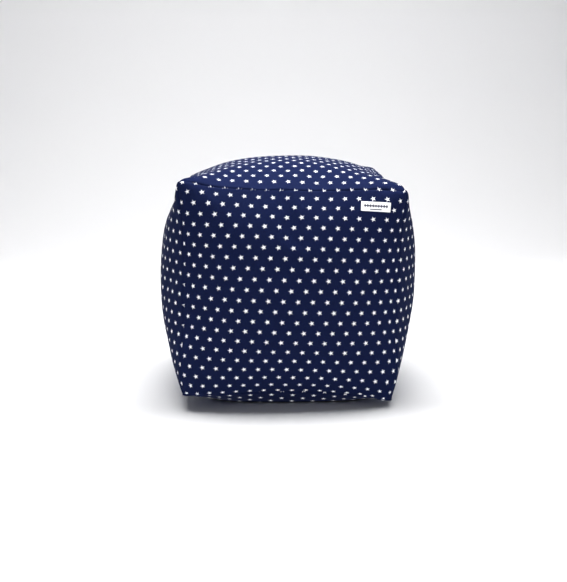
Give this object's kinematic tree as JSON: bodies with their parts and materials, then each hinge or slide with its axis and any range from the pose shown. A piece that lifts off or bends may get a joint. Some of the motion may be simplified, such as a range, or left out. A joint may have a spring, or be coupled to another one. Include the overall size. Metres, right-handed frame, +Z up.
{
  "type": "seat cube",
  "caption": "Stuffed cube seat in printed cotton, with crowned panels, drawn-in seams and a small sewn label on its front.",
  "frame": {"origin": "middle of the base, on the plane that the cube stands on", "axes": "+Z up, -Y towards the front panel that carries the label, +X to that panel's right as seen from in front"},
  "size_m": [0.4872, 0.4546, 0.4445],
  "materials": {
    "printed_cotton": "matt plain-weave cotton, navy with small white stars",
    "label_ribbon": "soft satin woven ribbon, white"
  },
  "bodies": {
    "root": {"cube": "printed_cotton", "label": "label_ribbon"}
  },
  "joints": []
}
